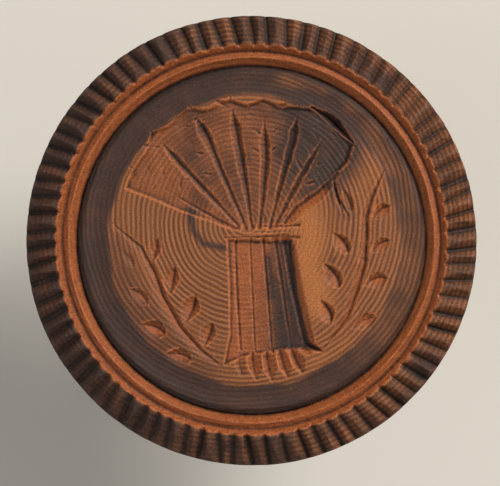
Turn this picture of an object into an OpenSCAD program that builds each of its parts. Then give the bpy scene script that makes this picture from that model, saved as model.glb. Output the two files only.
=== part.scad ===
// Butter mould: a turned wooden hand stamp that prints a wheat sheaf in a pat of butter.
// The head carries the sunk carving inside a notched rim, and a turned handle screws into its back.
// Drawn in millimetres, standing on the handle with the printing face up: the origin is the
// centre of the handle's flat end, +Z runs out through the face, and +Y is the top of the sheaf.

/* [Head] */
// Diameter of the head over the notched rim
head_d = 108; // [94:1:130]
// Height of the head, from its seat on the handle to the rim
head_h = 33; // [31:0.5:40]
// Height of the straight edge round the head
edge_h = 11; // [7:0.5:13]
// Radius of the rounded corner between the edge and the back
edge_round = 2.5; // [1:0.25:4]
// Width of the flat ring at the back of the rim
back_flat_w = 3; // [1:0.5:5]
// Diameter of the hub that the handle seats on
hub_d = 42; // [38:1:48]
// Height of the straight side of the hub
hub_h = 3; // [2:0.25:4]
// Radius of the bead round the top of the hub
hub_bead = 1.5; // [0.8:0.1:2]

/* [Rim] */
// Width of the notched band
band_w = 7.2; // [6:0.2:9]
// Flat land left at the band's inner edge
band_land = 1.2; // [0.6:0.2:2]
// Fall of the band from its land to its outer edge
band_fall = 2.4; // [1:0.1:3.5]
// Number of notches round the band
notch_count = 78; // [60:1:90]
// Width of a notch at the surface
notch_w = 1.9; // [1:0.1:2.2]
// Depth of a notch
notch_depth = 0.9; // [0.4:0.1:1.4]

/* [Rings] */
// Width of the slope from the rim down to the outer groove
outer_slope_w = 1.5; // [1:0.1:2.4]
// Depth of the outer groove below the rim
outer_groove_depth = 1.9; // [1.6:0.1:2.4]
// Width of the rise from the outer groove to the ring
ring_rise_w = 1.5; // [0.8:0.1:2]
// Depth of the ring's crest below the rim
ring_depth = 0.9; // [0.4:0.1:1.4]
// Width of the slope from the ring down to the inner groove
inner_slope_w = 1.9; // [1.2:0.1:2.6]
// Depth of the inner groove below the rim
inner_groove_depth = 3.1; // [2.9:0.1:3.8]
// Width of the rise from the inner groove to the face
face_rise_w = 1.2; // [0.6:0.1:1.8]

/* [Face] */
// Depth of the printing face below the rim
face_depth = 2.4; // [1.6:0.1:2.8]
// Width of the plain border round the carved field
border_w = 4.6; // [3:0.2:6]

/* [Carving] */
// Depth of a V cut for each millimetre of half its width
cut_slope = 0.85; // [0.6:0.05:1.1]
// Depth of a leaf's chip for each millimetre of half its width
leaf_slope = 0.5; // [0.35:0.05:0.8]
// Depth of the sunk bed under the ears
ear_bed_depth = 0.7; // [0.4:0.1:1]
// Depth of the sunk bed under the bound stalks
stalk_bed_depth = 1.1; // [0.6:0.1:1.5]
// Half width of the line down the middle of an ear, where it is widest
ear_half_w = 2; // [1.4:0.1:2.4]
// Pairs of barbs on each ear
barb_pairs = 3; // [1:1:4]
// Distance from one pair of barbs to the next
barb_pitch = 4.6; // [3.6:0.1:5.2]
// Length of a barb
barb_len = 4.6; // [3:0.1:5]
// Half width of a barb
barb_half_w = 1.3; // [1.1:0.05:1.5]
// Half width of the grooves between the stalks
stalk_half_w = 2.1; // [1.8:0.1:2.4]
// Half width of the stems of the two sprays
stem_half_w = 1; // [0.7:0.1:1.4]

/* [Handle] */
// Height of the handle, from its flat end to the shoulder under the hub
handle_h = 59; // [52:1:75]
// Diameter of the flat end that the mould stands on
end_d = 28; // [22:1:30]
// Diameter of the knob
knob_d = 38; // [34:1:44]
// Height of the widest part of the knob
knob_z = 13; // [10:0.5:18]
// Diameter of the neck
neck_d = 22; // [20:0.5:25]
// Height of the thinnest part of the neck
neck_z = 42; // [34:0.5:43]
// Diameter of the shoulder that meets the hub
shoulder_d = 31; // [28:1:34]
// Height of the shoulder's rounded collar
collar_h = 5; // [4:0.5:6]

/* [Tenon] */
// Diameter of the threaded tenon
tenon_d = 19; // [16:0.5:21]
// Length of the tenon
tenon_len = 19; // [14:0.5:20]
// Chamfer at the end of the tenon
tenon_chamfer = 1.2; // [0.6:0.1:2]
// Gap all round between the tenon and its socket
fit_gap = 0.06; // [0.03:0.01:0.1]
// Gap between the end of the tenon and the bottom of its socket
end_gap = 1; // [0.5:0.1:2]
// Rise of the wooden thread in one turn
thread_pitch = 5; // [4:0.25:6]
// Depth of the thread's groove
thread_depth = 1.1; // [0.6:0.1:1.4]

/* [Hidden] */
$fn = 96;

wood_dark = [0.30, 0.16, 0.08];
wood_worn = [0.42, 0.24, 0.12];

// Levels and radii that more than one piece is built on
seat_z = handle_h;
rim_z = seat_z + head_h;
face_z = rim_z - face_depth;
head_r = head_d / 2;
band_r = head_r - band_w;
land_r = band_r + band_land;
outer_groove_r = band_r - outer_slope_w;
ring_r = outer_groove_r - ring_rise_w;
inner_groove_r = ring_r - inner_slope_w;
face_r = inner_groove_r - face_rise_w;
socket_r = tenon_d / 2 + fit_gap;
socket_depth = tenon_len + end_gap;

// How far a cutter reaches past the surface that it cuts
clear = 0.4;

// The carving is drawn for a field of this radius and brought to the size of the field on the face
drawn_r = 36.1;
art_scale = (face_r - border_w) / drawn_r;

// A quarter of an ellipse about a centre, from one angle to another
function bow(centre, rx, ry, from, to, steps) =
    [for (i = [0 : steps]) let (a = from + (to - from) * i / steps) centre + [rx * cos(a), ry * sin(a)]];

// A smooth S between two points of a turning, upright at both ends
function sway(p, q, steps) =
    [for (i = [1 : steps]) let (t = i / steps) [p[0] + (q[0] - p[0]) * (1 - cos(180 * t)) / 2, p[1] + (q[1] - p[1]) * t]];

// A point on the curve that four control points draw
function curve(c, t) =
    pow(1 - t, 3) * c[0] + 3 * t * pow(1 - t, 2) * c[1] + 3 * t * t * (1 - t) * c[2] + pow(t, 3) * c[3];

// The direction that leans clockwise from +Y by an angle
function leaning(a) = [sin(a), cos(a)];

// The direction of a path at one of its points
function heading(path, i) =
    let (d = path[min(i + 1, len(path) - 1)] - path[max(i - 1, 0)]) d / norm(d);

// The faces of a bar swept through rings of three points: left, right and keel
function bar_faces(rings) = concat(
    [[0, 1, 2]],
    [for (i = [0 : rings - 2], e = [[0, 1], [1, 2], [2, 0]])
        let (a = 3 * i + e[0], b = 3 * i + e[1])
        each [[a, a + 3, b + 3], [a, b + 3, b]]],
    [[3 * rings - 3, 3 * rings - 1, 3 * rings - 2]]
);

// A V-shaped cut along a path on the surface z = 0, with its half width at each point of the path
module v_cut(path, half_w, slope = cut_slope) {
    spread = clear / slope;
    polyhedron(
        points = [for (i = [0 : len(path) - 1])
            let (
                h = heading(path, i),
                side = [-h[1], h[0]] * (half_w[i] + spread)
            )
            each [
                [path[i][0] + side[0], path[i][1] + side[1], clear],
                [path[i][0] - side[0], path[i][1] - side[1], clear],
                [path[i][0], path[i][1], -half_w[i] * slope]
            ]],
        faces = bar_faces(len(path))
    );
}

// A straight V-shaped cut that is widest at a share of its length and pointed at its far end
module tapered_cut(from, lean, length, start_half_w, half_w, widest) {
    along = leaning(lean) * length;
    v_cut([from, from + along * widest, from + along], [start_half_w, half_w, 0]);
}

// The fan above the tie: where each line leaves the tie, how far it leans and how long it is.
// The first and the last line are the fan's edges, and each of the others is an ear.
fan_y = 3.4;
fan = [
    [-6.2, -68, 26],
    [-3.6, -60, 29.4],
    [-2.6, -43.5, 31.6],
    [-1.2, -25.5, 33],
    [0, -9, 32],
    [1.8, 2, 31.8],
    [3.8, 14, 30.4],
    [5.8, 29, 28],
    [8, 44, 23]
];
fan_last = len(fan) - 1;
bed_share = 0.93;
bed_dip = 0.48;
function fan_root(i) = [fan[i][0], fan_y];
function fan_point(i, share) = fan_root(i) + leaning(fan[i][1]) * fan[i][2] * share;
function bed_tip(i) = fan_point(i, bed_share);

// The sunk bed that the ears lie in, dipping in between one tip and the next
module ear_bed() {
    translate([0, 0, -ear_bed_depth])
        linear_extrude(ear_bed_depth + clear)
            polygon(concat(
                [fan_root(0)],
                [for (i = [0 : fan_last]) each (i < fan_last
                    ? [bed_tip(i), (bed_tip(i) + bed_tip(i + 1)) * bed_dip]
                    : [bed_tip(i)])],
                [fan_root(fan_last)]
            ));
}

ear_root_share = 0.55;
ear_widest = 0.86;
edge_line_share = 0.5;
module fan_lines() {
    for (i = [0 : fan_last]) {
        widest_half_w = ear_half_w * (i == 0 || i == fan_last ? edge_line_share : 1);
        tapered_cut(fan_root(i), fan[i][1], fan[i][2], widest_half_w * ear_root_share, widest_half_w, ear_widest);
    }
}

barb_lean = 50;
barb_start = 0.8;
barb_widest = 0.45;
module ear_barbs(i) {
    for (pair = [0 : barb_pairs - 1], side = [-1, 1])
        tapered_cut(
            fan_point(i, barb_start) - leaning(fan[i][1]) * pair * barb_pitch,
            fan[i][1] + side * barb_lean,
            barb_len,
            barb_half_w * barb_widest,
            barb_half_w,
            barb_widest
        );
}

// The bound stalks below the tie: the outline of their bed, and the groove between each two stalks
tie_y = 0.5;
bundle = [[-5.7, tie_y], [-5.4, -14], [-7, -29.8], [17.4, -27], [13.6, -19], [11.2, -10], [10.6, tie_y]];
stalk_grooves = [
    [[-3.2, -1.6], [-2.2, -26]],
    [[0.2, -1.6], [1.5, -26]],
    [[3.4, -1.6], [5.3, -26]],
    [[6.1, -1.6], [9.3, -25.4]],
    [[8.2, -1.6], [12.8, -25]]
];
module stalk_bed() {
    translate([0, 0, -stalk_bed_depth])
        linear_extrude(stalk_bed_depth + clear) polygon(bundle);
}
module stalk_cuts() {
    for (g = stalk_grooves)
        v_cut(g, [stalk_half_w, stalk_half_w]);
}

// The cut ends of the stalks: where each pointed notch under the bundle starts, and its lean
butts = [[-1.4, -27.6, -2], [2, -27.2, -5], [5.6, -26.9, -6], [9.2, -26.4, 4], [12.6, -26, 12]];
butt_len = 6;
butt_half_w = 1.5;
butt_widest = 0.55;
module butt_cuts() {
    for (b = butts)
        tapered_cut([b[0], b[1]], 180 - b[2], butt_len, butt_half_w, butt_half_w, butt_widest);
}

// The two lines that the tie stands up between
tie_span = [-4.6, 11.8];
tie_lines = [0.7, 3.3];
tie_half_w = 0.6;
module tie_cuts() {
    for (y = tie_lines)
        tapered_cut([tie_span[0], y], 90, tie_span[1] - tie_span[0], tie_half_w / 2, tie_half_w, 0.6);
}

// The sprays on either side: the curve of each stem, and each leaf's centre, length, width and angle
left_stem = [[-33.6, 4], [-22.5, -3.5], [-25.5, -17.5], [-7.8, -30]];
right_stem = [[31.7, 16.4], [24.5, 4.5], [30.5, -14], [17.8, -26]];
leaves = [
    [[-23, -2.7], 6.9, 3.2, 78],
    [[-18.9, -9.8], 7.4, 4, 81],
    [[-14.4, -16.7], 7.3, 4.8, 71],
    [[-10.3, -22.9], 6.6, 4.2, 71],
    [[-29.7, -4.7], 6.2, 3, -55],
    [[-27.1, -13.7], 6.2, 3.6, -42],
    [[-23.6, -21.7], 7, 4.6, -22],
    [[-17.6, -28.3], 7, 4.3, -12],
    [[22.9, 9.2], 7, 2.6, -70],
    [[21.3, -0.9], 6.8, 4, -53],
    [[19.1, -8.7], 7.4, 4.1, -57],
    [[17.6, -17.2], 6.4, 3.8, -66],
    [[31.3, 6.5], 6, 3.4, 37],
    [[31.1, -1.7], 6, 3.6, 32],
    [[30, -10.1], 6.2, 4, 17],
    [[27.2, -20], 6.4, 4.3, 24]
];
leaf_steps = 6;
stem_steps = 10;
module leaf_cut(at, length, width, angle) {
    along = [cos(angle), sin(angle)] * length / 2;
    v_cut(
        [for (i = [0 : leaf_steps]) at + along * (2 * i / leaf_steps - 1)],
        [for (i = [0 : leaf_steps]) width / 2 * sin(180 * i / leaf_steps)],
        leaf_slope
    );
}
module stem_cut(controls) {
    v_cut(
        [for (i = [0 : stem_steps]) curve(controls, i / stem_steps)],
        [for (i = [0 : stem_steps]) stem_half_w * min(1, 2.2 * sin(180 * i / stem_steps))]
    );
}
module spray_cuts() {
    stem_cut(left_stem);
    stem_cut(right_stem);
    for (l = leaves)
        leaf_cut(l[0], l[1], l[2], l[3]);
}

module carving() {
    ear_bed();
    fan_lines();
    for (i = [1 : fan_last - 1])
        ear_barbs(i);
    stalk_bed();
    stalk_cuts();
    butt_cuts();
    tie_cuts();
    spray_cuts();
}

// The band falls from its land to the outer edge in a shallow bow
band_steps = 4;
band_line = bow([land_r, rim_z - band_fall], head_r - land_r, band_fall, 90, 0, band_steps);
edge_low_z = rim_z - band_fall - edge_h;
back_z = edge_low_z - edge_round;
back_r = head_r - edge_round - back_flat_w;
cove_low_z = seat_z + hub_h + 2 * hub_bead;
hub_r = hub_d / 2;
module head_turning() {
    rotate_extrude()
        polygon(concat(
            [[0, seat_z], [hub_r - 0.6, seat_z], [hub_r, seat_z + 0.6]],
            bow([hub_r, seat_z + hub_h + hub_bead], hub_bead, hub_bead, -90, 90, 6),
            bow([back_r, cove_low_z], hub_r - back_r, back_z - cove_low_z, 0, 90, 8),
            bow([head_r - edge_round, edge_low_z], edge_round, edge_round, -90, 0, 4),
            [for (i = [band_steps : -1 : 0]) band_line[i]],
            [[band_r, rim_z], [outer_groove_r, rim_z - outer_groove_depth], [ring_r, rim_z - ring_depth],
             [inner_groove_r, rim_z - inner_groove_depth], [face_r, face_z], [0, face_z]]
        ));
}

// Each notch is a straight V that follows the fall of the band
notch_tilt = atan(band_fall / band_w);
notch_top = 2.4;
module notches() {
    for (i = [0 : notch_count - 1])
        rotate([0, 0, (i + 0.5) * 360 / notch_count])
            translate([band_r, 0, rim_z - notch_depth])
                rotate([0, 90 + notch_tilt, 0])
                    translate([0, 0, -band_w / 4])
                        linear_extrude(band_w * 1.5)
                            polygon([
                                [0, 0],
                                [-notch_depth * notch_top, -notch_w / 2 * notch_top],
                                [-notch_depth * notch_top, notch_w / 2 * notch_top]
                            ]);
}

module print_head() {
    color(wood_dark)
        difference() {
            head_turning();
            notches();
            translate([0, 0, face_z]) scale([art_scale, art_scale, art_scale]) carving();
            translate([0, 0, seat_z - clear]) cylinder(h = socket_depth + clear, r = socket_r);
        }
}

// The thread is one V-shaped groove wound up the tenon
thread_sides = 16;
tenon_r = tenon_d / 2;
thread_half_w = thread_depth * 1.1;
thread_lead_in = 2.5;
module thread_groove() {
    turns = (tenon_len - thread_lead_in) / thread_pitch;
    rings = ceil(turns * thread_sides);
    out = clear / thread_depth;
    polyhedron(
        points = [for (i = [0 : rings])
            let (
                a = 360 * i / thread_sides,
                z = seat_z + thread_lead_in + thread_pitch * i / thread_sides,
                rise = thread_half_w * (1 + out),
                outer = (tenon_r + clear) * [cos(a), sin(a)],
                keel = (tenon_r - thread_depth) * [cos(a), sin(a)]
            )
            each [
                [outer[0], outer[1], z + rise],
                [outer[0], outer[1], z - rise],
                [keel[0], keel[1], z]
            ]],
        faces = bar_faces(rings + 1)
    );
}

knob_r = knob_d / 2;
end_r = end_d / 2;
shoulder_r = shoulder_d / 2;
collar_z = handle_h - collar_h / 2;
module handle() {
    color(wood_worn)
        difference() {
            rotate_extrude()
                polygon(concat(
                    [[0, 0]],
                    bow([end_r, knob_z], knob_r - end_r, knob_z, -90, 0, 8),
                    sway([knob_r, knob_z], [neck_d / 2, neck_z], 12),
                    sway([neck_d / 2, neck_z], [shoulder_r - collar_h / 2, handle_h - collar_h], 5),
                    bow([shoulder_r - collar_h / 2, collar_z], collar_h / 2, collar_h / 2, -90, 90, 8),
                    [[tenon_r, seat_z], [tenon_r, seat_z + tenon_len - tenon_chamfer],
                     [tenon_r - tenon_chamfer, seat_z + tenon_len], [0, seat_z + tenon_len]]
                ));
            thread_groove();
        }
}

print_head();
handle();
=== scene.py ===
"""A turned wooden butter mould: a carved printing head that screws onto a knob handle.

It stands on the handle with the printing face up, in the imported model's own frame. Pieces are
modelled in millimetres and brought to metres when they are finished.
"""

import math

import bpy
import numpy as np
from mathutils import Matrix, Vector


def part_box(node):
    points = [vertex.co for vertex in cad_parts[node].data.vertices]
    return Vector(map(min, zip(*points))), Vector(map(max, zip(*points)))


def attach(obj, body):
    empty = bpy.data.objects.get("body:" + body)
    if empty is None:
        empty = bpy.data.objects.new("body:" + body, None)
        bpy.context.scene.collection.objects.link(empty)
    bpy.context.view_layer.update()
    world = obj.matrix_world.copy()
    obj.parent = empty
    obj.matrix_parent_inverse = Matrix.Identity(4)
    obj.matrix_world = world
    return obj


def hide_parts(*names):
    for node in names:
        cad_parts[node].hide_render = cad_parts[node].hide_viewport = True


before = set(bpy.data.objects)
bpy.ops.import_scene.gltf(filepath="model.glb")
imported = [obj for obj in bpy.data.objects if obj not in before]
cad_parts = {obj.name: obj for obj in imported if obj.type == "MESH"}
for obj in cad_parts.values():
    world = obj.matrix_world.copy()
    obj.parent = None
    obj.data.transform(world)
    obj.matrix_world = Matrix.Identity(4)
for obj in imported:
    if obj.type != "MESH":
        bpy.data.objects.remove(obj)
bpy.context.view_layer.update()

MM = 0.001

# The head as turned, before it is carved
# A disc of end-grain wood with a hub at its back. The lathe cut two V-grooves inside the rim, and
# the rim was then notched all round with a knife. The carved face fits in this piece's recess.

head_low, head_high = (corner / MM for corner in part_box("print_head"))
seat_z = head_low.z
rim_z = head_high.z
head_r = head_high.x

band_w = 7.2
band_land = 1.2
band_fall = 2.4
outer_slope_w = 1.5
outer_groove_depth = 1.9
ring_rise_w = 1.5
ring_depth = 0.9
inner_slope_w = 1.9
inner_groove_depth = 3.1
recess_depth = 5.8
side_top_depth = 5.0

band_r = head_r - band_w
land_r = band_r + band_land
outer_groove_r = band_r - outer_slope_w
ring_r = outer_groove_r - ring_rise_w
inner_groove_r = ring_r - inner_slope_w

notch_count = 78
notch_steps = 16
notch_depth = 0.9
notch_half_w = 0.95
notch_skew = 1.3
notch_jitter = 0.5
fine_steps = notch_count * notch_steps
coarse_steps = 156


def only(piece):
    """Selects one object and makes it the active one."""
    if bpy.context.mode != "OBJECT":
        bpy.ops.object.mode_set(mode="OBJECT")
    bpy.ops.object.select_all(action="DESELECT")
    piece.select_set(True)
    bpy.context.view_layer.objects.active = piece


def outline_piece(name, points):
    """A new object whose mesh is a line through points of a turning: radius and height."""
    mesh = bpy.data.meshes.new(name)
    edges = [(i, i + 1) for i in range(len(points) - 1)]
    mesh.from_pydata([(r, 0.0, z) for r, z in points], edges, [])
    piece = bpy.data.objects.new(name, mesh)
    bpy.context.scene.collection.objects.link(piece)
    return piece


def turn_on_lathe(piece, steps):
    """Spins a line round the Z axis and closes it on itself."""
    only(piece)
    bpy.ops.object.mode_set(mode="EDIT")
    bpy.ops.mesh.select_all(action="SELECT")
    bpy.ops.mesh.spin(steps=steps, angle=math.tau, center=(0, 0, 0), axis=(0, 0, 1))
    bpy.ops.mesh.select_all(action="SELECT")
    bpy.ops.mesh.remove_doubles(threshold=0.001)
    bpy.ops.object.mode_set(mode="OBJECT")


def bow(centre, rx, rz, start, end, steps):
    """Points on a quarter of an ellipse, from one angle to another in degrees."""
    angles = np.radians(np.linspace(start, end, steps + 1))
    return [(centre[0] + rx * math.cos(a), centre[1] + rz * math.sin(a)) for a in angles]


def between(p, q, steps):
    """Points from p to q, with q left out."""
    return [(p[0] + (q[0] - p[0]) * i / steps, p[1] + (q[1] - p[1]) * i / steps) for i in range(steps)]


def places(piece):
    """The piece's vertices as three arrays."""
    flat = np.empty(len(piece.data.vertices) * 3)
    piece.data.vertices.foreach_get("co", flat)
    return flat.reshape(-1, 3).T.copy()


def put_back(piece, x, y, z):
    """Moves the piece's vertices to these places."""
    piece.data.vertices.foreach_set("co", np.stack([x, y, z], 1).ravel())
    piece.data.update()


def lumps(x, y, size, seed):
    """Smooth noise from -1 to 1, with lumps of about this size."""
    cells = 128
    table = np.random.default_rng(seed).uniform(-1, 1, (cells, cells))
    u, v = x / size + 500.5, y / size + 500.5
    i, j = np.floor(u).astype(int), np.floor(v).astype(int)
    fu, fv = u - i, v - j
    fu, fv = fu * fu * (3 - 2 * fu), fv * fv * (3 - 2 * fv)

    def corner(a, b):
        return table[(i + a) % cells, (j + b) % cells]

    low = corner(0, 0) * (1 - fu) + corner(1, 0) * fu
    high = corner(0, 1) * (1 - fu) + corner(1, 1) * fu
    return low * (1 - fv) + high * fv


def smooth_min(a, b, k):
    """The lower of two heights, rounded over where they cross."""
    share = np.clip(0.5 + 0.5 * (b - a) / k, 0, 1)
    return b + (a - b) * share - k * share * (1 - share)


def step_between(low, high, value):
    """Rises smoothly from 0 to 1 as value goes from low to high."""
    t = np.clip((value - low) / (high - low), 0, 1)
    return t * t * (3 - 2 * t)


def give_attribute(piece, name, values):
    """Stores one number per vertex for the piece's material."""
    layer = piece.data.attributes.new(name, "FLOAT", "POINT")
    layer.data.foreach_set("value", np.asarray(values, np.float32))


def finish_piece(piece, body, node, smooth_angle=180):
    """Brings a piece to metres, shades it and fixes it to its CAD body."""
    only(piece)
    piece.scale = (MM, MM, MM)
    bpy.ops.object.transform_apply(location=True, rotation=True, scale=True)
    bpy.ops.object.shade_smooth_by_angle(angle=math.radians(smooth_angle))
    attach(piece, body)
    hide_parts(node)


def ring_profile():
    """The front of the turning, from the floor of the recess out over the rings and the band."""
    valley = (inner_groove_r, rim_z - inner_groove_depth)
    crest = (ring_r, rim_z - ring_depth)
    outer_valley = (outer_groove_r, rim_z - outer_groove_depth)
    rim_edge = (band_r, rim_z)
    round_off = 0.16
    line = [(inner_groove_r, rim_z - recess_depth)]
    line += between(valley, (crest[0] - round_off, crest[1] - round_off), 7)
    line += [(crest[0] - round_off, crest[1] - round_off), (crest[0], crest[1] - 0.05)]
    line += between((crest[0] + round_off, crest[1] - 0.1), outer_valley, 5)
    line += between(outer_valley, (rim_edge[0] - round_off, rim_edge[1] - round_off), 6)
    line += [(rim_edge[0] - round_off, rim_edge[1] - round_off), (rim_edge[0], rim_edge[1] - 0.03)]
    line += [(rim_edge[0] + round_off, rim_z), (rim_edge[0] + 0.5, rim_z), (rim_edge[0] + 0.85, rim_z)]
    line += bow((land_r, rim_z - band_fall), head_r - land_r, band_fall, 90, 0, 14)
    line += [(head_r, rim_z - 3.5), (head_r, rim_z - side_top_depth)]
    return line


def cut_notches(piece):
    """Lowers the band's vertices into V-shaped notches, none quite like the next."""
    x, y, z = places(piece)
    r, angle = np.hypot(x, y), np.degrees(np.arctan2(y, x))
    draw = np.random.default_rng(21)
    pitch = 360 / notch_count
    number = np.floor(angle / pitch).astype(int) % notch_count
    shift = draw.uniform(-notch_jitter, notch_jitter, notch_count)
    wide = draw.uniform(0.8, 1.2, notch_count)
    deep = draw.uniform(0.75, 1.25, notch_count)
    skew = draw.normal(notch_skew, 0.5, notch_count)
    out = (r - band_r) / (head_r - band_r)
    keel_angle = (np.floor(angle / pitch) + 0.5) * pitch + shift[number] + skew[number] * (out - 0.5)
    off = np.radians(angle - keel_angle) * r
    spacing = math.tau * r / fine_steps
    on_band = (r > outer_groove_r + 0.02) & (z > rim_z - side_top_depth + 0.5)
    snap = on_band & (np.abs(off) < spacing * 0.5)
    angle = np.where(snap, keel_angle, angle)
    off = np.where(snap, 0, off)
    keel_z = rim_z - notch_depth * deep[number] - (r - band_r) * band_fall / (head_r - band_r)
    flank = keel_z + np.abs(off) * notch_depth / notch_half_w / wide[number]
    worn = 0.12 + 0.06 * lumps(x, y, 6, 22)
    z = np.where(on_band, smooth_min(z, flank, worn), z)
    put_back(piece, r * np.cos(np.radians(angle)), r * np.sin(np.radians(angle)), z)


def wear_rings(piece):
    """Gives the rings the slight unevenness of a hand-held tool and of long use."""
    x, y, z = places(piece)
    r = np.hypot(x, y)
    top = step_between(rim_z - 7, rim_z - 4, z)
    sag = 0.16 * lumps(x, y, 17, 31) + 0.07 * lumps(x, y, 5, 32) + 0.035 * lumps(x, y, 1.1, 33)
    sway = 1 + (0.10 * lumps(x, y, 14, 34) + 0.05 * lumps(x, y, 3, 35)) * top / np.maximum(r, 1)
    put_back(piece, x * sway, y * sway, z + np.minimum(sag, 0.05) * top)


rings = outline_piece("turned_head", ring_profile())
turn_on_lathe(rings, fine_steps)
cut_notches(rings)
wear_rings(rings)

# The back of the head
# Its straight side, rounded corner and cove are turned from the same disc, down to the beaded hub
# that takes the handle. The socket is bored a little deeper than the tenon is long, and threaded.

handle_low, handle_high = (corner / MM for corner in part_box("handle"))
edge_h = 11.0
edge_round = 2.5
back_flat_w = 3.0
hub_r = 21.0
hub_h = 3.0
hub_bead = 1.5
tenon_r = 9.5
fit_gap = 0.06
socket_depth = handle_high.z - seat_z + 1.0
thread_pitch = 5.0
thread_depth = 1.1

edge_low_z = rim_z - band_fall - edge_h
back_z = edge_low_z - edge_round
back_r = head_r - edge_round - back_flat_w
cove_low_z = seat_z + hub_h + 2 * hub_bead


def back_profile():
    """The rest of the turning, from under the band round the back and up into the socket."""
    side_top = (head_r, rim_z - side_top_depth)
    socket_r = tenon_r + fit_gap
    bore = [(socket_r, seat_z + 0.5), (socket_r, seat_z + socket_depth)]
    line = between(side_top, (head_r, edge_low_z), 6)
    line += bow((head_r - edge_round, edge_low_z), edge_round, edge_round, 0, -90, 6)
    line += between((back_r + 1.5, back_z), (back_r, back_z), 2)
    line += bow((back_r, cove_low_z), hub_r - back_r, back_z - cove_low_z, 90, 0, 22)
    line += bow((hub_r, seat_z + hub_h + hub_bead), hub_bead, hub_bead, 90, -90, 10)
    line += between((hub_r, seat_z + hub_h - 0.4), (hub_r, seat_z + 0.7), 3)
    line += [(hub_r - 0.15, seat_z + 0.2), (hub_r - 0.6, seat_z)]
    line += between((hub_r - 3, seat_z), (socket_r + 0.6, seat_z), 4)
    line += [(socket_r + 0.6, seat_z)]
    line += between(bore[0], bore[1], 52)
    line += [bore[1]]
    return line


def wind_thread(x, y, z, start_z, end_z, outward):
    """Moves the wall of a bore or a tenon out or in, to the shape of a V-shaped thread."""
    r = np.hypot(x, y)
    turn = np.arctan2(y, x) / math.tau
    phase = (z - start_z) / thread_pitch - turn
    from_keel = np.abs(phase - np.round(phase)) * thread_pitch
    depth = np.maximum(thread_depth - from_keel / 1.1, 0)
    depth = depth * step_between(start_z, start_z + 1.5, z) * step_between(end_z, end_z - 1.5, z)
    on_wall = (np.abs(r - tenon_r) < fit_gap + 0.02) & (z > start_z) & (z < end_z)
    new_r = np.where(on_wall, r + outward * depth, r)
    return x * new_r / np.maximum(r, 1e-6), y * new_r / np.maximum(r, 1e-6)


back = outline_piece("turned_back", back_profile())
turn_on_lathe(back, coarse_steps)
x, y, z = places(back)
x, y = wind_thread(x, y, z, seat_z + 0.6, seat_z + socket_depth - 0.5, 1)
put_back(back, x, y, z)

# The two turnings are joined at the side of the head, and the recess and the socket are closed
only(rings)
back.select_set(True)
bpy.ops.object.join()
bpy.ops.object.mode_set(mode="EDIT")


def select_loops(piece, keep):
    """In edit mode, selects the open edges whose middle passes a test of radius and height."""
    bpy.ops.mesh.select_all(action="DESELECT")
    bpy.ops.object.mode_set(mode="OBJECT")
    uses = np.zeros(len(piece.data.edges), int)
    loops = np.empty(len(piece.data.loops), int)
    piece.data.loops.foreach_get("edge_index", loops)
    np.add.at(uses, loops, 1)
    for edge in piece.data.edges:
        if uses[edge.index] == 1:
            middle = sum((piece.data.vertices[v].co for v in edge.vertices), Vector()) / 2
            edge.select = keep(math.hypot(middle.x, middle.y), middle.z)
    bpy.ops.object.mode_set(mode="EDIT")
    bpy.ops.mesh.select_mode(type="EDGE")


select_loops(rings, lambda r, z: r > head_r - 1)
bpy.ops.mesh.bridge_edge_loops()
select_loops(rings, lambda r, z: band_r > r > tenon_r + 2)
bpy.ops.mesh.edge_face_add()
select_loops(rings, lambda r, z: r < tenon_r + 2)
bpy.ops.mesh.edge_face_add()
bpy.ops.mesh.select_all(action="SELECT")
bpy.ops.mesh.normals_make_consistent(inside=False)
bpy.ops.object.mode_set(mode="OBJECT")


# The carved face
# The flat of the disc inside the inner groove, where a wheat sheaf and two leafy sprays are sunk
# with knife and gouge. The wood is worn smooth round the cuts, and broken away at the upper right.

face_rise_w = 1.2
face_depth = 2.4
face_r = inner_groove_r - face_rise_w
face_z = rim_z - face_depth
field_r = 36.6
field_steps = 294
plug_gap = 0.01
cut_slope = 0.85
pith = (-1.2, 4.3)


def beside(path, x, y):
    """For each point: its share of the way along a path, its distance to the left, and the way left."""
    nearest = np.full(x.shape, np.inf)
    share, left, left_x, left_y = (np.zeros(x.shape) for _ in range(4))
    steps = len(path) - 1
    for i in range(steps):
        ax, ay = path[i]
        dx, dy = path[i + 1][0] - ax, path[i + 1][1] - ay
        length = math.hypot(dx, dy)
        t = np.clip(((x - ax) * dx + (y - ay) * dy) / length**2, 0, 1)
        away_x, away_y = x - ax - t * dx, y - ay - t * dy
        distance = np.hypot(away_x, away_y)
        nearer = distance < nearest
        side = np.where(dx * away_y - dy * away_x < 0, -1, 1)
        nearest = np.where(nearer, distance, nearest)
        share = np.where(nearer, (i + t) / steps, share)
        left = np.where(nearer, distance * side, left)
        left_x = np.where(nearer, -dy / length, left_x)
        left_y = np.where(nearer, dx / length, left_y)
    return share, left, left_x, left_y


def distance_inside(outline, x, y):
    """Distance in from a closed outline, negative outside it."""
    nearest = np.full(x.shape, np.inf)
    inside = np.zeros(x.shape, bool)
    for i, (ax, ay) in enumerate(outline):
        bx, by = outline[(i + 1) % len(outline)]
        dx, dy = bx - ax, by - ay
        t = np.clip(((x - ax) * dx + (y - ay) * dy) / (dx * dx + dy * dy), 0, 1)
        nearest = np.minimum(nearest, np.hypot(x - ax - t * dx, y - ay - t * dy))
        if dy:
            inside ^= ((ay > y) != (by > y)) & (x < ax + (y - ay) * dx / dy)
    return np.where(inside, nearest, -nearest)


def chip(path, half_w, slope=cut_slope, keel=0.0):
    """A V cut: its path, its half width at even steps along it, its slope and its keel's lean to the left."""
    return {"path": path, "half_w": half_w, "slope": slope, "keel": keel}


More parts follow.
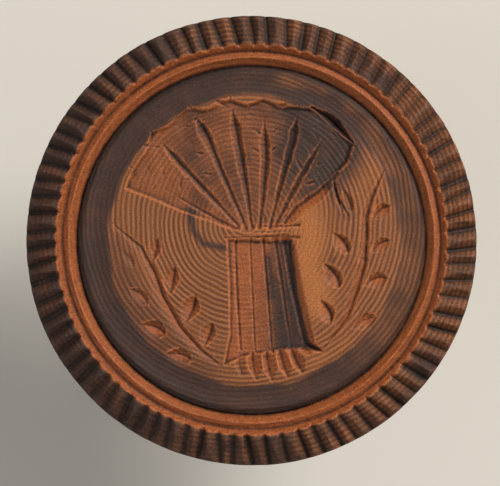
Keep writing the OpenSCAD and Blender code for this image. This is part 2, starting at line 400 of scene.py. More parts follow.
def leaf(x, y, length, width, angle, keel=-0.3, slope=0.62):
    """An almond-shaped chip, deepest past its middle."""
    along = np.array((math.cos(math.radians(angle)), math.sin(math.radians(angle)))) * length / 2
    bend = np.array((-along[1], along[0])) * 0.1
    shares = np.linspace(-1, 1, 7)
    path = [tuple(np.array((x, y)) + along * s + bend * (1 - s * s)) for s in shares]
    half_w = [
        width / 2 * math.sin(math.pi * ((s + 1) / 2) ** 1.25) ** 0.8 if abs(s) < 1 else 0 for s in shares
    ]
    return chip(path, half_w, slope, keel)


# The ears: the long lines of the fan, from the tie to the tips, and the barbs cut beside them
ear_lines = [
    chip([(-3.6, 3.1), (-7.7, 5.1), (-17.3, 10.6), (-29.2, 17.7)], [1.0, 1.25, 1.45, 1.1, 0.2], keel=0.3),
    chip([(-3.2, 3.3), (-9.6, 10.2), (-17.3, 18.3), (-24.6, 26.7)], [1.2, 1.55, 1.9, 2.1, 0], keel=-0.1),
    chip([(-1.5, 3), (-7, 15.4), (-10.6, 24), (-15.5, 33.2)], [1.2, 1.6, 1.9, 2.5, 0], keel=-0.2),
    chip([(0, 3.3), (-1.2, 11.6), (-3.6, 25), (-5.3, 35.2)], [1.2, 1.6, 2.1, 2.5, 0], keel=-0.1),
    chip([(1.9, 3.3), (2.6, 9.7), (3.3, 19.2), (2.8, 35.2)], [1.2, 1.5, 1.9, 2.3, 0], keel=-0.1),
    chip([(4.5, 3.3), (7.6, 15.4), (10, 24), (11.5, 32.9)], [1.2, 1.6, 2.0, 2.3, 0]),
    chip([(5.9, 3.7), (11.7, 14.9), (19.1, 27.4)], [1.2, 1.7, 1.8, 0.9]),
    chip([(8.3, 4), (11.2, 7.4), (16.3, 11.1), (20.6, 16)], [1.2, 1.7, 1.9, 1.6, 0.8], keel=0.3),
]
barbs = [
    ((-25, 15.6), (-25, 19.9)), ((-21.4, 14.2), (-21.1, 18.9)), ((-17.6, 11.6), (-16.4, 16.2)),
    ((-27, 16.4), (-29, 14)), ((-22.4, 13.6), (-24.4, 10.9)), ((-17.8, 10.8), (-20, 8.6)),
    ((-13.4, 27.2), (-19.8, 27.4)), ((-10.4, 20.4), (-15.4, 21.2)), ((-8.6, 15.6), (-12.8, 16)),
    ((-20.8, 22), (-25.6, 22.6)), ((-17.2, 18.2), (-21.6, 18.9)), ((-13.6, 14.2), (-17.8, 14.6)),
    ((-12.7, 27.9), (-9.8, 31.4)), ((-10.9, 24.2), (-7.8, 27.9)), ((-9.2, 20.1), (-6.6, 23.4)),
    ((-4.8, 31.2), (-8.4, 33.4)), ((-4, 27.2), (-7.2, 28.8)), ((-3.2, 23), (-6, 24.6)),
    ((1.6, 29.4), (-3.4, 31.5)), ((3.2, 24.9), (-1.9, 27.7)), ((2.8, 20.4), (-1.2, 22.9)),
    ((4, 30.2), (8, 32.6)), ((4.2, 25.6), (7.8, 28.2)), ((3.9, 21), (7, 23.6)),
    ((9.4, 28.2), (5.8, 29.8)), ((8.6, 23.2), (5.4, 24.8)),
    ((16.8, 23), (13.9, 26.9)), ((15.1, 19), (12.2, 24.2)), ((12.5, 15.8), (10, 21.2)),
    ((16.4, 21), (20.4, 22.8)), ((14.2, 17.9), (19.3, 19.3)), ((12.2, 13.4), (16.6, 14.6)),
]
ear_cuts = [chip([root, tip], [0.9, 1.5, 1.25, 0.5], 0.78, -0.15) for root, tip in barbs]
nicks = [
    chip([(-13.6, 29), (-12, 31.6)], [1.5, 1.3, 0.2]), chip([(-11.6, 25.4), (-10.2, 28)], [1.5, 1.2, 0.2]),
    chip([(-9.7, 21.2), (-8.4, 23.6)], [1.4, 1.1, 0.2]), chip([(-8.1, 18.4), (-7, 20.8)], [1.3, 1.0, 0.2]),
]

# The bound stalks below the tie, the chips of their cut ends, and the tie's two lines
stalk_lines = [
    chip([(-3.4, -1), (-2.9, -13.5), (-2.1, -26)], [1.5, 1.6, 1.6], keel=-0.3),
    chip([(0.2, -0.8), (0.8, -13.5), (1.4, -26.4)], [1.6, 1.7, 1.7], keel=-0.3),
    chip([(3.3, -0.8), (4.3, -12), (5.3, -26)], [2.0, 2.1, 2.0], keel=-0.2),
    chip([(5.9, -0.8), (7.6, -12), (9.5, -25.4)], [2.3, 2.4, 2.3]),
    chip([(8, -0.8), (9.9, -12), (12.8, -25.2)], [2.5, 2.6, 2.6]),
]
butts = [
    chip([(-3.2, -27.4), (-2.2, -31.8)], [1.0, 1.3, 0.9], 0.6, -0.2),
    chip([(0.6, -26.6), (1.3, -33)], [1.6, 1.9, 1.7, 0.7], 0.8, -0.3),
    chip([(4, -26.4), (5, -33.2)], [1.6, 1.9, 1.7, 0.7], 0.8, -0.3),
    chip([(7.2, -26.2), (8.8, -32.4)], [1.6, 1.9, 1.7, 0.7], 0.8, -0.3),
    chip([(10, -26), (12.2, -31.2)], [1.7, 2.0, 1.8, 0.8], 0.85, -0.3),
]
tie_lines = [
    chip([(-3.4, 3.2), (3, 3.5), (11.4, 3.6)], [0.35, 0.5, 0.8, 0.6], 0.9, -0.3),
    chip([(-6.4, 0.4), (3, 0.5), (11.4, 0.5)], [0.3, 0.5, 0.8, 0.6], 0.9, 0.3),
    chip([(-2.4, 2.1), (3, 1.9), (9.6, 2.1)], [0.1, 0.3, 0.3, 0.1], 0.7),
]

# The sprays: a curved stem on each side, and the leaves inside and outside it
stems = [
    chip(
        [
            (-33.8, 4.3), (-26.7, -2), (-23.5, -8.2), (-21.6, -13.9), (-17.3, -21.4), (-12.5, -26.6),
            (-7.2, -30.3),
        ],
        [0.2, 0.9, 1.3, 1.5, 1.45, 1.1, 0.3], 0.72, 0.35,
    ),
    chip(
        [
            (31.8, 16.8), (28.4, 9.4), (27.2, 5.4), (27.2, 0.4), (26.7, -6.1), (24.9, -12.3),
            (22.7, -18.3), (17, -26.4),
        ],
        [0.2, 1.0, 1.2, 1.25, 1.25, 1.2, 1.1, 0.3], 0.78, 0.35,
    ),
]
leaves = [
    leaf(-23, -2.7, 6.9, 3.2, 78),
    leaf(-18.9, -9.8, 7.4, 4, 81),
    leaf(-14.4, -16.7, 7.3, 4.8, 71),
    leaf(-10.3, -22.9, 6.6, 4.2, 71),
    leaf(-29.7, -4.7, 5.6, 2.6, -55, 0.2, 0.4),
    leaf(-27.1, -13.7, 6.2, 3.6, -42, 0.3, 0.5),
    leaf(-23.6, -21.7, 7, 4.6, -22, 0.3),
    leaf(-17.6, -28.3, 7.2, 4.3, -12, 0.3, 0.5),
    leaf(22.9, 9.4, 6.6, 2.6, -70, 0.2, 0.8),
    leaf(21.3, -0.9, 6.8, 4, -53, 0.35, 0.7),
    leaf(19.1, -8.7, 7.6, 4.3, -57, 0.35, 0.7),
    leaf(17.6, -17.2, 6.6, 4, -66, 0.4, 0.7),
    leaf(31.3, 6.5, 5.6, 3.8, 37, 0.3),
    leaf(31.1, -1.7, 5.8, 3.8, 32, 0.3),
    leaf(30, -10.1, 6, 4.2, 17, 0.3),
    leaf(27.2, -20, 6.6, 4.4, 24, 0.2, 0.5),
]

# Later damage: a ragged break along the tips at the upper right, and checks in the wood
breaks = [
    chip([(14.6, 31.6), (18.4, 28.9), (21.2, 26.2), (24.2, 23.4)], [0.6, 1.5, 1.9, 1.3, 0.5], 1.25, 0.45),
    chip([(18, 27.4), (22.6, 22.4)], [0.8, 1.6, 1.2, 0.3], 0.9),
    chip([(19.6, 14.8), (20.4, 11.2), (21.8, 6.8)], [0.3, 0.45, 0.5, 0.2], 2.0),
    chip([(20.6, 10.4), (23.4, 5.6)], [0.2, 0.5, 0.2], 1.2),
    chip([(3.9, -5), (4.3, -8)], [0.5, 0.8, 0.4], 1.1),
    chip([(4.4, -10.6), (4.7, -13)], [0.5, 0.8, 0.4], 1.1),
]
carving = ear_lines + ear_cuts + nicks + stalk_lines + butts + tie_lines + stems + leaves + breaks

ear_bed = [
    (-5.9, 3), (-16.3, 6.7), (-30.4, 12.4), (-28.6, 16.9), (-25.8, 20.6), (-24.2, 25.6), (-20, 27.6),
    (-15.3, 31.8), (-10.6, 31.4), (-5.3, 34.1), (-1, 32.6), (2.8, 34.2), (7, 32.3), (11.4, 32),
    (15.4, 31.6), (21, 26.6), (24.6, 22.8), (23.2, 18.4), (20.6, 16), (16.3, 11.1), (11.2, 7.4), (8.6, 3.7),
]
stalk_bed = [
    (-5.9, 0.2), (-5.3, -12.1), (-5.3, -23.1), (-6.7, -30.2), (-2, -28.2), (9.7, -26.4), (17.6, -27),
    (14.1, -23.8), (11.4, -13.5), (10, 0.2),
]


def chip_surface(cut, x, y):
    """The height of a cut's two flanks over the face, and how far and which way its keel lies."""
    share, left, left_x, left_y = beside(cut["path"], x, y)
    steps = np.linspace(0, 1, len(cut["half_w"]))
    half_w = np.interp(share, steps, cut["half_w"])
    keel = cut["keel"]
    height = -cut["slope"] * np.minimum((half_w + left) / (1 + keel), (half_w - left) / (1 - keel))
    return height, keel * half_w - left, left_x, left_y


def near(cut, x, y, reach=3.5):
    """The points that a cut can touch."""
    path = np.array(cut["path"])
    low, high = path.min(0) - reach, path.max(0) + reach
    return (x > low[0]) & (x < high[0]) & (y > low[1]) & (y < high[1])


def bed_floor(x, y):
    """The two sunk beds, with the marks of the gouge that cleared them."""
    ears = distance_inside(ear_bed, x, y) + 0.12 * lumps(x, y, 1.6, 41)
    ear_depth = 0.62 + 0.010 * np.hypot(x, y - 3) + 0.12 * lumps(x, y, 2.2, 42)
    ear_depth += 0.2 * step_between(12, 22, x)
    stalks = distance_inside(stalk_bed, x, y)
    stalk_depth = 0.75 + 0.065 * (x + 6) + 0.06 * lumps(x, y, 2.5, 43)
    floor = smooth_min(0 * x, -np.minimum(ears * 1.3, ear_depth), 0.12)
    return smooth_min(floor, -np.minimum(stalks * 1.7, stalk_depth), 0.1)


def carve(x, y):
    """The height of the face over its own level, and where each point is drawn to by the nearest keel."""
    height = bed_floor(x, y)
    deepest = height.copy()
    pull_x, pull_y = np.zeros(x.shape), np.zeros(x.shape)
    snap = field_r / field_steps
    for number, cut in enumerate(carving):
        spot = near(cut, x, y)
        px, py = x[spot], y[spot]
        flanks, to_keel, left_x, left_y = chip_surface(cut, px, py)
        rough = 0.05 * lumps(px, py, 1.3, 50 + number % 7) + 0.03 * lumps(px, py, 0.6, 60 + number % 5)
        wins = (flanks < deepest[spot]) & (np.abs(to_keel) < snap)
        deepest[spot] = np.minimum(deepest[spot], flanks)
        pull_x[spot] = np.where(wins, to_keel * left_x, pull_x[spot])
        pull_y[spot] = np.where(wins, to_keel * left_y, pull_y[spot])
        height[spot] = smooth_min(height[spot], flanks + rough * (flanks < 0.1), 0.1)
    return height, pull_x, pull_y


def growth(x, y):
    """Distance from the pith along the growth rings, a little out of round."""
    r = np.hypot(x - pith[0], y - pith[1])
    return r * (1 + 0.02 * lumps(x, y, 24, 71)) + 0.5 * lumps(x, y, 9, 72) + 0.12 * lumps(x, y, 2.5, 73)


def worn_surface(x, y):
    """The slow waves, ring lines and small knocks of the old surface."""
    ring = growth(x, y)
    lines = 0.030 * np.sin(math.tau * ring / 1.15) + 0.016 * np.sin(math.tau * ring / 0.62 + 1)
    inner = 1 - step_between(33.5, 36, np.hypot(x, y))
    hollow = -0.32 * np.exp(-(((np.hypot(x, y) - 37.6) / 2.4) ** 2))
    return lines * (0.35 + 0.65 * inner) + 0.09 * lumps(x, y, 13, 74) + 0.04 * lumps(x, y, 4, 75) + hollow


bpy.ops.object.select_all(action="DESELECT")
bpy.ops.mesh.primitive_grid_add(x_subdivisions=field_steps, y_subdivisions=field_steps, size=2)
face = bpy.context.object
face.name = "carved_face"
u, v, z = places(face)
x = field_r * u * np.sqrt(1 - v * v / 2)
y = field_r * v * np.sqrt(1 - u * u / 2)
edge = np.maximum(np.abs(u), np.abs(v)) > 0.999
height, pull_x, pull_y = carve(x, y)
x, y = np.where(edge, x, x + pull_x), np.where(edge, y, y + pull_y)
put_back(face, x, y, z)

# The border ring outside the carved field, the rise from the groove, and the hidden underside
border_steps = [(37.6, 0), (38.6, 0), (39.6, 0), (40.3, -0.02), (face_r - 0.12, -0.05), (face_r + 0.1, -0.16)]
border_steps += [(face_r + 0.6, -0.38), (inner_groove_r - plug_gap, -0.7), (inner_groove_r - plug_gap, -3.3)]
only(face)
bpy.ops.object.mode_set(mode="EDIT")
bpy.ops.mesh.select_all(action="SELECT")
bpy.ops.mesh.region_to_loop()
loop_r, loop_z = field_r, 0.0
for ring_radius, ring_height in border_steps:
    bpy.ops.mesh.extrude_edges_move()
    bpy.ops.transform.resize(value=(ring_radius / loop_r, ring_radius / loop_r, 1), center_override=(0, 0, 0))
    bpy.ops.transform.translate(value=(0, 0, ring_height - loop_z))
    loop_r, loop_z = ring_radius, ring_height
bpy.ops.mesh.edge_face_add()
bpy.ops.mesh.select_all(action="SELECT")
bpy.ops.mesh.normals_make_consistent(inside=False)
bpy.ops.object.mode_set(mode="OBJECT")

x, y, z = places(face)
r = np.hypot(x, y)
height, pull_x, pull_y = carve(x, y)
on_top = z > -0.45
relief = np.where(r < field_r + 0.01, height, np.minimum(height, 0) * (r < face_r))
z = face_z + z + np.where(on_top, relief + worn_surface(x, y) * step_between(face_r, face_r - 2, r), 0)
put_back(face, x, y, z)


# What the surface has been through, with painted light and shade
# Use has left black dirt in the cuts, dark patches round the border and pale, rubbed edges. Painted shade
# darkens the cuts and hollows with the dirt, a painted shadow darkens the stalk bed, and painted light pales
# one side of the band. Each mark is stored on the vertices as a number, which the wood's finish reads.


def stroke(path, width, x, y):
    """A soft-edged stroke of the brush along a path: 1 on it, fading to 0 beside it."""
    left = beside(path, x, y)[1]
    return np.exp(-((left / width) ** 2))


def averaged(values, reach):
    """A square field of values, each averaged with its neighbours up to a reach away."""
    for axis in (0, 1):
        padded = np.pad(values, [(reach + 1, reach) if a == axis else (0, 0) for a in (0, 1)], mode="edge")
        total = np.cumsum(padded, axis)
        size = values.shape[axis]
        ahead = np.take(total, range(2 * reach + 1, 2 * reach + 1 + size), axis)
        values = (ahead - np.take(total, range(size), axis)) / (2 * reach + 1)
    return values


grid = field_steps + 1
relief_map = relief[: grid * grid].reshape(grid, grid)
hollow = np.zeros(len(x))
ridge = np.zeros(len(x))
hollow[: grid * grid] = (averaged(relief_map, 3) - relief_map).ravel()
ridge[: grid * grid] = (relief_map - averaged(relief_map, 2)).ravel()
angle = np.degrees(np.arctan2(y, x))
blotch = 0.6 * lumps(x, y, 7, 81) + 0.4 * lumps(x, y, 2.6, 82)
in_ears = step_between(-0.4, 1.2, distance_inside(ear_bed, x, y))
in_stalks = step_between(-0.2, 0.6, distance_inside(stalk_bed, x, y))

patina_edge = np.hypot(x - 0.5, y) + 0.5 * blotch
# The patina ring is paler towards the right, most a little below it.
paler_right = 0.42 * np.exp(-((angle + 12) / 55) ** 2)
patina = step_between(34.0, 35.8, patina_edge) * (0.97 - paler_right + 0.1 * blotch)
patina -= 0.5 * stroke([(8, 38.6), (17, 35.4)], 2.2, x, y) + 0.3 * stroke([(24, 30), (33, 18)], 3, x, y)
burn = stroke([(14, 31), (20, 27.5), (23.5, 23)], 3.6, x, y) + 0.8 * stroke([(12, 22), (22, 17)], 4.5, x, y)
burn += 0.75 * stroke([(19, 14), (21, 9), (23, 6)], 2.0, x, y) + 0.5 * stroke([(9, 33), (18, 33)], 2.2, x, y)
smudge = 0.9 * stroke([(-14.6, 6.4), (-14, 2.2), (-11.6, -1), (-6.6, -2)], 1.1, x, y)
smudge += (
    0.8 * stroke([(3.8, -4.6), (4.6, -13.2)], 0.9, x, y)
    + 0.45 * stroke([(18.6, -9), (19.4, -5)], 1.4, x, y)
)
# The ear bed is darkened, more towards the right and less at the far left.
ear_bed_darkening = 0.50 + 0.18 * blotch + 0.22 * step_between(0, 14, x) - 0.18 * step_between(-14, -22, x)
under_ears = in_ears * ear_bed_darkening
# The stalk bed is dark, and a painted shadow of its right wall takes it near black towards the right.
stalk_bed_dark_and_shadow = in_stalks * (0.22 + 0.75 * step_between(2, 8.5, x) + 0.1 * blotch)
stain_and_painted_light = np.clip(np.maximum.reduce([patina, under_ears, stalk_bed_dark_and_shadow]) + 0.9 * burn + smudge, 0, 1)

pale = stroke([(13.5, 7), (14.5, 0), (13.4, -8), (15.5, -15)], 4.6, x, y) * (1 - in_stalks)
pale += 0.35 * stroke([(22, -25), (12, -31)], 3, x, y) + 0.35 * stroke([(29, 16), (24.5, 9)], 2.4, x, y)
dull = stroke([(-33, -2), (-30, -14), (-22, -25), (-12, -32)], 4.5, x, y)
lower_left = 0.2 * step_between(8, -20, y) * step_between(4, -8, x)
tone = np.clip(0.75 * pale - 0.6 * dull - lower_left + 0.15 * blotch, -1, 1)
# Dirt and painted shade: the hollows, the deepest cuts, the edge of the face and the inner groove go dark.
dirt_and_shade = step_between(0.03, 0.26, hollow) + 0.55 * step_between(-0.9, -2.2, relief)
dirt_and_shade += np.exp(-(((r - face_r) / 0.35) ** 2)) * 0.5 + step_between(face_r + 0.2, inner_groove_r - 0.3, r)
rub = step_between(0.015, 0.10, ridge) * (1 - 0.5 * stain_and_painted_light)
cut_wood = step_between(-0.25, -0.75, relief)

give_attribute(face, "stain_and_painted_light", stain_and_painted_light)
give_attribute(face, "grime_and_shade", np.clip(dirt_and_shade, 0, 1))
give_attribute(face, "rubbed", np.clip(rub, 0, 1))
give_attribute(face, "tone", tone)
give_attribute(face, "fresh", cut_wood * (1 - 0.5 * in_ears))

# The turned part carries the same marks: black dirt and painted shade in the groove bottoms and notches,
# bright on the slopes
x, y, z = places(rings)
r = np.hypot(x, y)
front = step_between(rim_z - 5.5, rim_z - 4.2, z)
blotch = 0.6 * lumps(x, y, 9, 83) + 0.4 * lumps(x, y, 2.2, 84)
angle = np.degrees(np.arctan2(y, x))
profile_z = rim_z - (r - band_r) * band_fall / (head_r - band_r) + 0.25
notched = step_between(0.25, 1.0, profile_z - z) * (r > band_r)
valley = np.exp(-(((r - outer_groove_r) / 0.32) ** 2)) + np.exp(-(((r - inner_groove_r) / 0.4) ** 2))
slopes = (1 - step_between(band_r - 0.1, band_r + 0.35, r)) * front
# Painted light: the band is paler, and its tone lighter, on the side the light comes from, and darker on the
# far side.
sun_side = np.cos(np.radians(angle - 10))
band_stain_and_light = np.clip(0.72 - 0.22 * sun_side + 0.28 * blotch, 0, 1)
give_attribute(rings, "stain_and_painted_light", np.where(r > band_r + 0.1, band_stain_and_light, 0.12) * front + 0.45 * (1 - front))
# Dirt and painted shade: the groove bottoms and the notches go black.
give_attribute(rings, "grime_and_shade", np.clip((valley + notched) * front, 0, 1))
worn_edge = np.exp(-(((r - ring_r) / 0.22) ** 2)) + np.exp(-(((r - band_r - 0.1) / 0.3) ** 2))
give_attribute(rings, "rubbed", np.clip(worn_edge * front * (0.6 + 0.4 * blotch), 0, 1))
give_attribute(rings, "tone", 0.25 * blotch + 0.12 * sun_side)
give_attribute(rings, "fresh", slopes)


# The head's wood
# End grain, with growth rings round a pith a little above the middle. Butter has oiled it and
# handling has darkened it, and the turned slopes and rubbed edges show the fresher wood below.
# Painted shade darkens its cuts and hollows, and painted light pales one side of the band.


def colour(red, green, blue):
    """A colour as it looks on screen, in the renderer's own numbers."""
    def channel(value):
        share = value / 255
        return share / 12.92 if share <= 0.04045 else ((share + 0.055) / 1.055) ** 2.4
    return (channel(red), channel(green), channel(blue), 1.0)


def maths(tree, operation, first, second=0.0, third=0.0):
    """A Math node on numbers or other nodes' outputs."""
    made = tree.nodes.new("ShaderNodeMath")
    made.operation = operation
    for socket, value in zip(made.inputs, (first, second, third)):
        if isinstance(value, bpy.types.NodeSocket):
            tree.links.new(value, socket)
        else:
            socket.default_value = value
    return made.outputs[0]


def spread(tree, value, low, high, start=0.0, end=1.0):
    """Brings a value from one range smoothly into another."""
    made = tree.nodes.new("ShaderNodeMapRange")
    made.interpolation_type = "SMOOTHSTEP"
    tree.links.new(value, made.inputs["Value"])
    for name, number in (("From Min", low), ("From Max", high), ("To Min", start), ("To Max", end)):
        made.inputs[name].default_value = number
    return made.outputs[0]


def over(tree, share, under, top, blend="MIX"):
    """Lays one colour over another by a share."""
    made = tree.nodes.new("ShaderNodeMix")
    made.data_type = "RGBA"
    made.blend_type = blend
    for socket, value in ((made.inputs[0], share), (made.inputs[6], under), (made.inputs[7], top)):
        if isinstance(value, bpy.types.NodeSocket):
            tree.links.new(value, socket)
        else:
            socket.default_value = value
    return made.outputs[2]


def stretched(tree, place, scale, offset=(0, 0, 0)):
    """Object coordinates moved and scaled along each axis."""
    made = tree.nodes.new("ShaderNodeMapping")
    made.inputs["Location"].default_value = offset
    made.inputs["Scale"].default_value = scale
    tree.links.new(place, made.inputs["Vector"])
    return made.outputs[0]


def grains(tree, place, size, detail=2.0, rough=0.5):
    """Noise from 0 to 1 with grains of about this size in metres."""
    made = tree.nodes.new("ShaderNodeTexNoise")
    made.inputs["Scale"].default_value = 1 / size
    made.inputs["Detail"].default_value = detail
    made.inputs["Roughness"].default_value = rough
    tree.links.new(place, made.inputs["Vector"])
    return made.outputs["Fac"]


def mark(tree, name):
    """One of the numbers stored on the piece's vertices."""
    made = tree.nodes.new("ShaderNodeAttribute")
    made.attribute_name = name
    return made.outputs["Fac"]


def new_finish(name):
    """An empty material: its tree, its shader and its Object coordinates."""
    material = bpy.data.materials.new(name)
    material.use_nodes = True
    tree = material.node_tree
    place = tree.nodes.new("ShaderNodeTexCoord").outputs["Object"]
    return material, tree, tree.nodes["Principled BSDF"], place


def roughen(tree, shader, height, distance):
    """Raises the surface by a height of 0 to 1 times a distance in metres."""
    made = tree.nodes.new("ShaderNodeBump")
    made.inputs["Distance"].default_value = distance
    tree.links.new(height, made.inputs["Height"])
    tree.links.new(made.outputs["Normal"], shader.inputs["Normal"])


def end_grain_wood():
    """The head's finish."""
    material, tree, shader, place = new_finish("head_wood")
    fibres = stretched(tree, place, (1, 1, 0.05))
    from_pith = stretched(tree, place, (1, 1, 0), (-pith[0] * MM, -pith[1] * MM, 0))
    length = tree.nodes.new("ShaderNodeVectorMath")
    length.operation = "LENGTH"
    tree.links.new(from_pith, length.inputs[0])
    wander = maths(tree, "MULTIPLY", grains(tree, fibres, 0.012, 3), 0.0022)
    ring = maths(tree, "ADD", length.outputs["Value"], wander)
    phase = maths(tree, "MULTIPLY", ring, math.tau / 0.00118)
    even = maths(tree, "MULTIPLY_ADD", maths(tree, "SINE", phase), 0.5, 0.5)
    along_ring = tree.nodes.new("ShaderNodeCombineXYZ")
    tree.links.new(ring, along_ring.inputs[0])
    uneven = grains(tree, along_ring.outputs[0], 0.0011, 4, 0.7)
    ring_tone = maths(tree, "ADD", maths(tree, "MULTIPLY", even, 0.42), maths(tree, "MULTIPLY", uneven, 0.9))
    fine = grains(tree, fibres, 0.00032, 2, 0.6)
    coarse = grains(tree, fibres, 0.0012, 3, 0.6)
    cloudy = grains(tree, place, 0.009, 3, 0.55)

    wood = over(tree, spread(tree, ring_tone, 0.35, 1.0), colour(96, 54, 30), colour(158, 97, 54))
    # The tone mark: random paler and darker patches, and on the band painted light on the side the light
    # comes from.
    lift = mark(tree, "tone")
    wood = over(tree, spread(tree, lift, 0, 1), wood, colour(172, 104, 54))
    wood = over(tree, spread(tree, lift, 0, -1, 0, 0.75), wood, colour(84, 47, 28))
    fresh = over(tree, coarse, colour(122, 60, 30), colour(176, 96, 46))
    wood = over(tree, maths(tree, "MULTIPLY", mark(tree, "fresh"), 0.85), wood, fresh)
    edges = maths(tree, "MULTIPLY", mark(tree, "rubbed"), spread(tree, coarse, 0.3, 0.62, 0.25, 1.0))
    # The stain mark holds real stains and patina, the painted shadow in the stalk bed and the painted light
    # on the band; it blends the wood towards this dark colour.
    broken = maths(tree, "ADD", mark(tree, "stain_and_painted_light"), spread(tree, cloudy, 0.25, 0.75, -0.16, 0.16))
    old = over(tree, coarse, colour(44, 29, 24), colour(74, 48, 37))
    wood = over(tree, spread(tree, broken, 0.08, 1.0), wood, old)
    wood = over(tree, edges, wood, colour(178, 104, 58))
    # Dirt and painted shade from the grime mark take the cuts and hollows near black.
    dirt_and_shade_share = maths(tree, "MULTIPLY", mark(tree, "grime_and_shade"), spread(tree, coarse, 0.25, 0.7, 1.0, 0.72))
    wood = over(tree, dirt_and_shade_share, wood, colour(24, 16, 12))
    speckle = spread(tree, fine, 0.3, 0.7, 0.62, 1.34)
    grey = tree.nodes.new("ShaderNodeCombineColor")
    for socket in grey.inputs:
        tree.links.new(speckle, socket)
    wood = over(tree, 1.0, wood, grey.outputs[0], "MULTIPLY")
    tree.links.new(wood, shader.inputs["Base Color"])
    tree.links.new(spread(tree, coarse, 0.2, 0.8, 0.5, 0.72), shader.inputs["Roughness"])
    shader.inputs["Specular IOR Level"].default_value = 0.32
    height = maths(tree, "ADD", maths(tree, "MULTIPLY", fine, 0.5), maths(tree, "MULTIPLY", ring_tone, 0.6))
    height = maths(tree, "ADD", height, maths(tree, "MULTIPLY", coarse, 0.7))
    roughen(tree, shader, height, 0.00022)
    return material


head_wood = end_grain_wood()
for piece in (rings, face):
    piece.data.materials.append(head_wood)
    finish_piece(piece, "head", "print_head")


# The handle
# Turned from a lighter stick along the grain, with a knob that fits the palm and a flat end to
# stand on. Its tenon has a coarse wooden thread cut with a screw box, and screws into the hub.

knob_r = 19.0
knob_z = 13.0
end_r = 14.0
neck_r = 11.0
neck_z = 42.0
shoulder_r = 15.5
collar_h = 5.0
tenon_chamfer = 1.2
handle_steps = 192


def sway(p, q, steps):
    """A smooth S between two points of a turning, upright at both ends."""
    shares = np.arange(1, steps + 1) / steps
    return [
        (p[0] + (q[0] - p[0]) * (1 - math.cos(math.pi * t)) / 2, p[1] + (q[1] - p[1]) * t) for t in shares
    ]


def handle_profile():
    """From the middle of the flat end, up the grip to the shoulder and the end of the tenon."""
    collar_top = (shoulder_r - collar_h / 2, seat_z)
    tenon_z = handle_high.z
    line = between((1.0, 0), (end_r, 0), 6)
    line += bow((end_r, knob_z), knob_r - end_r, knob_z, -90, 0, 26)
    line += sway((knob_r, knob_z), (neck_r, neck_z), 44)
    line += sway((neck_r, neck_z), (shoulder_r - collar_h / 2, seat_z - collar_h), 18)
    bead = collar_h / 2
    line += bow((shoulder_r - bead, seat_z - bead), bead, bead, -90, 90, 20)[1:]
    line += between(collar_top, (tenon_r, seat_z), 4)[1:]
    line += between((tenon_r, seat_z), (tenon_r, tenon_z - tenon_chamfer), 72)
    line += between((tenon_r, tenon_z - tenon_chamfer), (tenon_r - tenon_chamfer, tenon_z), 3)
    line += between((tenon_r - tenon_chamfer, tenon_z), (1.0, tenon_z), 3)
    line += [(1.0, tenon_z)]
    return line


handle = outline_piece("turned_handle", handle_profile())
turn_on_lathe(handle, handle_steps)
x, y, z = places(handle)
x, y = wind_thread(x, y, z, seat_z + 2.5, handle_high.z - 0.6, -1)
around = np.degrees(np.arctan2(y, x))
grip = step_between(0.5, 4, z) * step_between(seat_z - 5.5, seat_z - 9, z)
dents = 0.10 * lumps(around / 9, z / 2, 3, 91) * (np.abs(around) < 170) + 0.03 * np.sin(z * 2.3)
swell = 1 + grip * dents / np.maximum(np.hypot(x, y), 1)
put_back(handle, x * swell, y * swell, z)
only(handle)
bpy.ops.object.mode_set(mode="EDIT")
select_loops(handle, lambda r, z: r < 2)
bpy.ops.mesh.edge_face_add()
bpy.ops.mesh.select_all(action="SELECT")
bpy.ops.mesh.normals_make_consistent(inside=False)
bpy.ops.object.mode_set(mode="OBJECT")


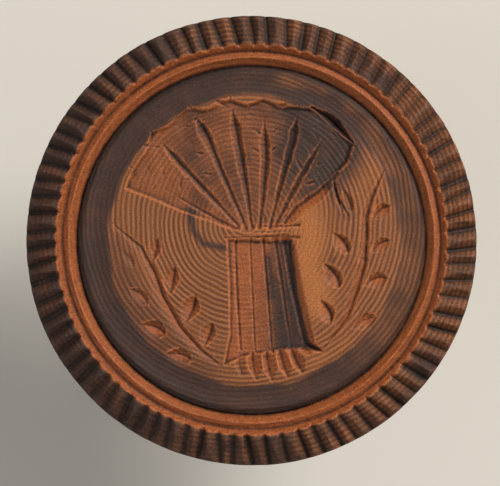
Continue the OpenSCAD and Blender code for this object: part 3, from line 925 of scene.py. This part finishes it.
def long_grain_wood():
    """The handle's finish."""
    material, tree, shader, place = new_finish("handle_wood")
    fibres = stretched(tree, place, (1, 1, 0.035))
    slow = stretched(tree, place, (1, 1, 0.12), (0.021, 0.008, 0))
    from_heart = tree.nodes.new("ShaderNodeVectorMath")
    from_heart.operation = "LENGTH"
    tree.links.new(stretched(tree, place, (1, 1, 0), (0.026, 0.011, 0)), from_heart.inputs[0])
    wander = maths(tree, "MULTIPLY", grains(tree, slow, 0.02, 3), 0.006)
    ring = maths(tree, "ADD", from_heart.outputs["Value"], wander)
    along_ring = tree.nodes.new("ShaderNodeCombineXYZ")
    tree.links.new(ring, along_ring.inputs[0])
    bands = grains(tree, along_ring.outputs[0], 0.0016, 3, 0.6)
    fine = grains(tree, fibres, 0.0005, 3, 0.65)
    cloudy = grains(tree, place, 0.014, 3, 0.6)
    wood = over(tree, spread(tree, bands, 0.3, 0.7), colour(92, 52, 30), colour(146, 88, 50))
    wood = over(tree, spread(tree, fine, 0.35, 0.7, 0, 0.5), wood, colour(70, 40, 26))
    wood = over(tree, spread(tree, cloudy, 0.4, 0.75, 0, 0.6), wood, colour(62, 38, 27))
    tree.links.new(wood, shader.inputs["Base Color"])
    tree.links.new(spread(tree, fine, 0.2, 0.8, 0.38, 0.6), shader.inputs["Roughness"])
    shader.inputs["Specular IOR Level"].default_value = 0.4
    roughen(tree, shader, maths(tree, "ADD", fine, maths(tree, "MULTIPLY", bands, 0.6)), 0.00016)
    return material


handle.data.materials.append(long_grain_wood())
finish_piece(handle, "handle", "handle", 40)


# The studio
# A pale floor, a soft lamp at the upper right as in the photograph, and the camera over the face.

camera_distance = 700.0
view_width = 119.47
tilt = 3.0
aim = Vector((-0.35, -0.92, rim_z)) * MM

bpy.ops.mesh.primitive_plane_add(size=6, location=(0, 0, 0))
floor = bpy.context.object
floor.name = "floor"
floor_paint, tree, shader, place = new_finish("floor_paint")
shader.inputs["Base Color"].default_value = colour(214, 209, 199)
shader.inputs["Roughness"].default_value = 0.9
floor.data.materials.append(floor_paint)

bpy.ops.object.camera_add()
camera = bpy.context.object
back_way = Vector((0, -math.sin(math.radians(tilt)), math.cos(math.radians(tilt))))
camera.location = aim + back_way * camera_distance * MM
camera.rotation_euler = (math.radians(tilt), 0, 0)
camera.data.sensor_width = 36
camera.data.lens = 36 * camera_distance / view_width
camera.data.clip_start = 0.01
bpy.context.scene.camera = camera


def soft_lamp(name, place, size, power, warmth):
    """A square lamp that looks at the middle of the head."""
    bpy.ops.object.light_add(type="AREA", location=place)
    lamp = bpy.context.object
    lamp.name = name
    lamp.data.size = size
    lamp.data.energy = power
    lamp.data.color = warmth
    lamp.rotation_euler = (Vector(place) - Vector((0, 0, rim_z * MM))).to_track_quat("Z", "Y").to_euler()


soft_lamp("key_lamp", (0.72, 0.62, 0.92), 0.45, 17, (1.0, 0.97, 0.93))
soft_lamp("fill_lamp", (-0.9, -0.5, 0.9), 1.0, 4, (0.95, 0.97, 1.0))

world = bpy.data.worlds.new("studio")
world.use_nodes = True
world.node_tree.nodes["Background"].inputs["Color"].default_value = (1.0, 0.99, 0.97, 1)
world.node_tree.nodes["Background"].inputs["Strength"].default_value = 0.3
bpy.context.scene.world = world
bpy.context.scene.view_settings.view_transform = "Standard"
